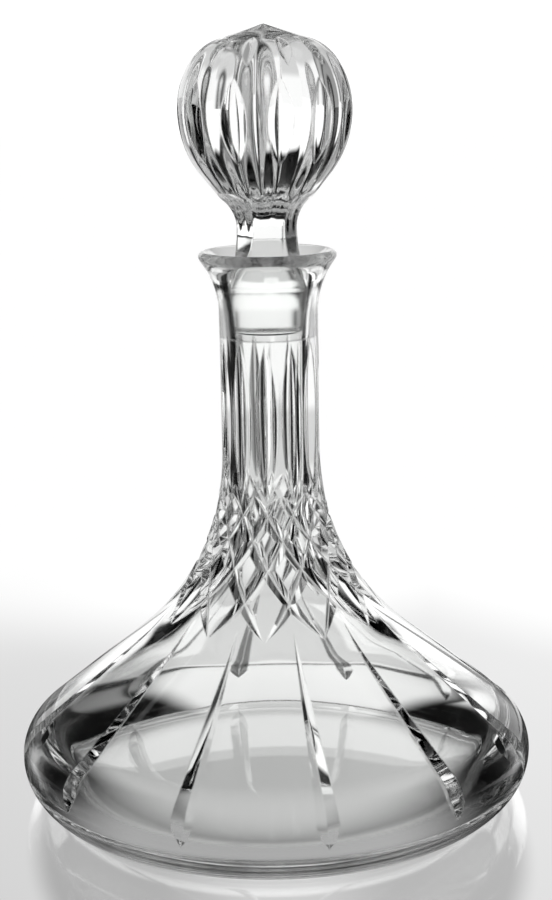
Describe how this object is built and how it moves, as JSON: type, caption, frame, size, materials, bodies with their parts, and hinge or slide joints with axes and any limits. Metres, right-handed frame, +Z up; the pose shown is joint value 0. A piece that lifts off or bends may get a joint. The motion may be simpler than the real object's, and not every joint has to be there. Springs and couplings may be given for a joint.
{
  "type": "ships decanter",
  "caption": "Wide, low-bodied cut crystal ships decanter with a long fluted neck, a flared lip and a ball stopper that lifts out of its ground seat.",
  "frame": {"origin": "centre of the flat base, on the surface that the decanter stands on", "axes": "+Z up along the axis of the neck; one neck flute faces -Y, the front"},
  "size_m": [0.176, 0.176, 0.2592],
  "materials": {
    "body_crystal": "clear lead crystal, polished, with polished wheel cuts",
    "stopper_crystal": "clear lead crystal, polished and wheel cut, with a finely ground frosted plug"
  },
  "bodies": {
    "decanter": {"decanter_body": "body_crystal"},
    "stopper": {"stopper": "stopper_crystal"}
  },
  "joints": [
    {"name": "stopper_lift", "type": "slide", "parent": "decanter", "child": "stopper", "axis": [0, 0, 1], "range_m": [0, 0.06]}
  ]
}
